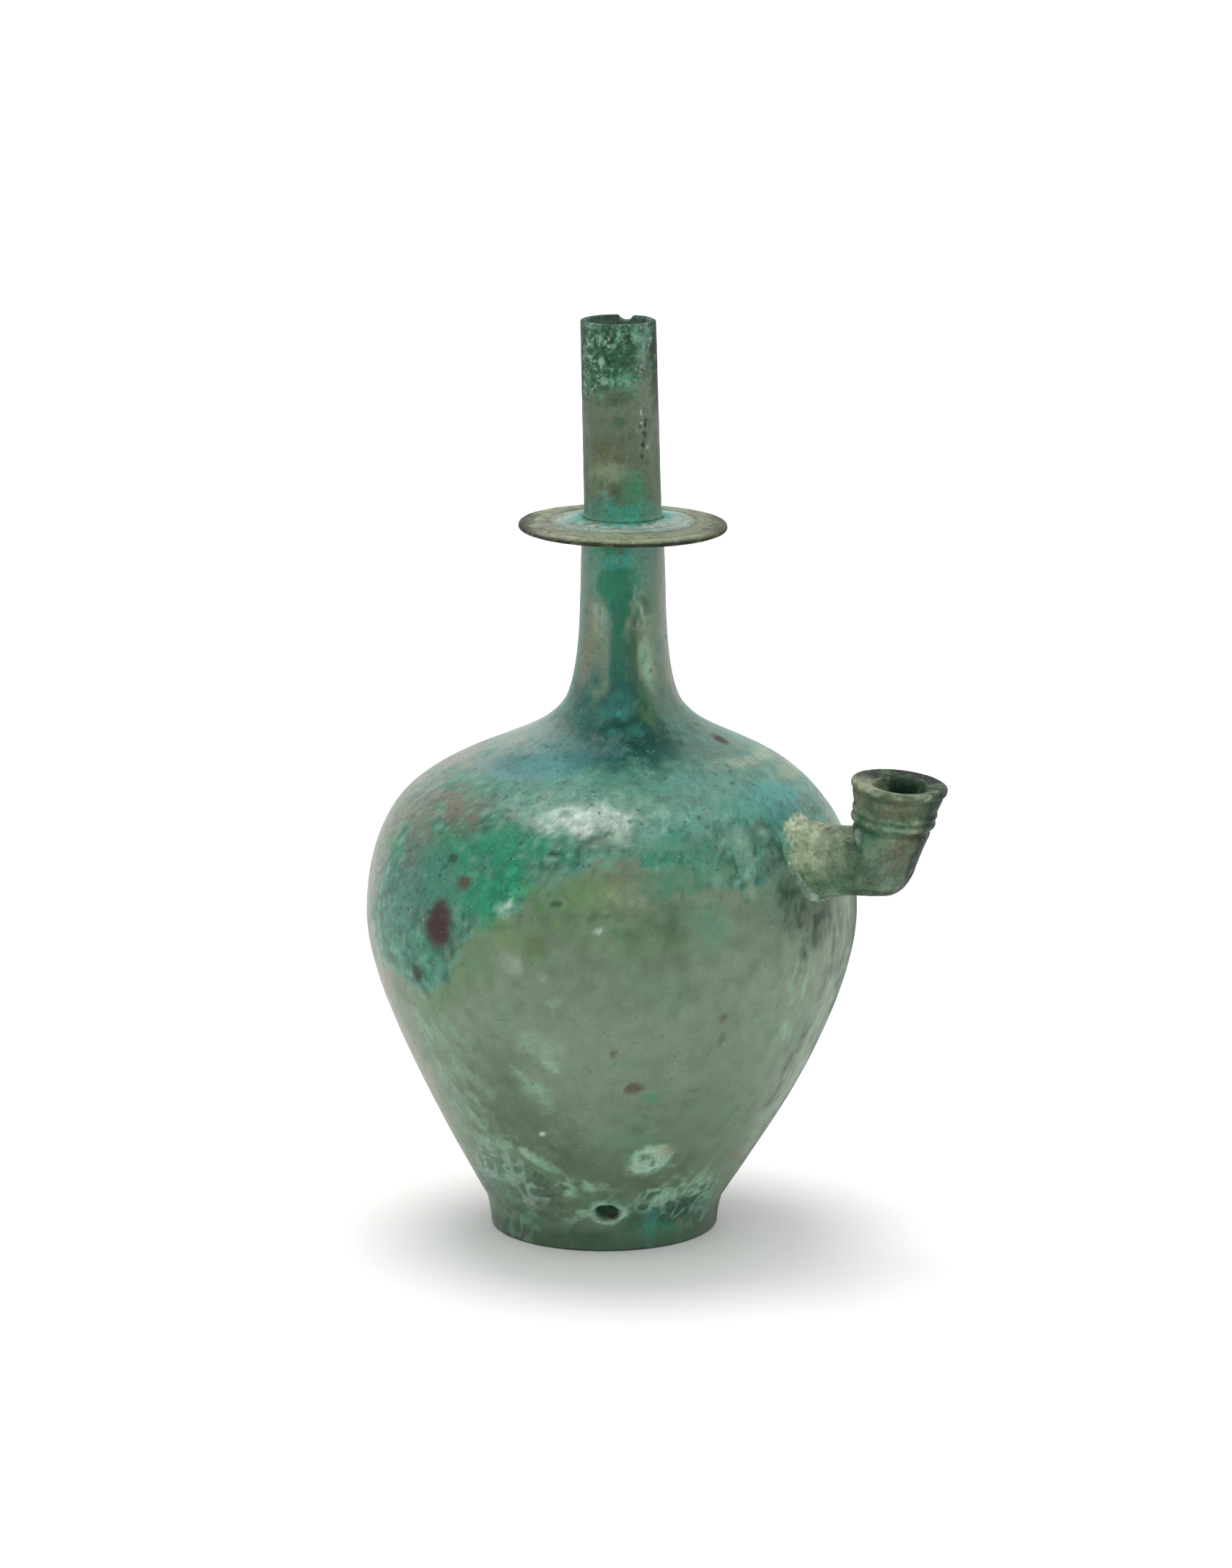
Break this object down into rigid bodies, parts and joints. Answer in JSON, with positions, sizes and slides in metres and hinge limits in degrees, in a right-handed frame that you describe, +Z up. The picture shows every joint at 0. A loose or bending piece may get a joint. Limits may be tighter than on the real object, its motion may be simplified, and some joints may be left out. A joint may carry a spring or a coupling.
{
  "type": "bronze kundika",
  "caption": "Hollow ovoid water bottle on a low foot, with a tall neck, flange disc, open mouth tube and a cup-shaped filling spout on the shoulder, in green patinated bronze.",
  "frame": {"origin": "centre of the foot's flat underside, on the standing plane", "axes": "+Z up through the body, +X the way the spout points"},
  "size_m": [0.1678, 0.1338, 0.2503],
  "materials": {
    "body": "green and teal patina, satin",
    "disc": "pale grey-green patina, satin",
    "tube": "dark green patina, satin",
    "spout": "olive patina with pale crust, satin"
  },
  "bodies": {
    "root": {"body": "body", "flange_disc": "disc", "mouth_tube": "tube", "side_spout": "spout"}
  },
  "joints": []
}
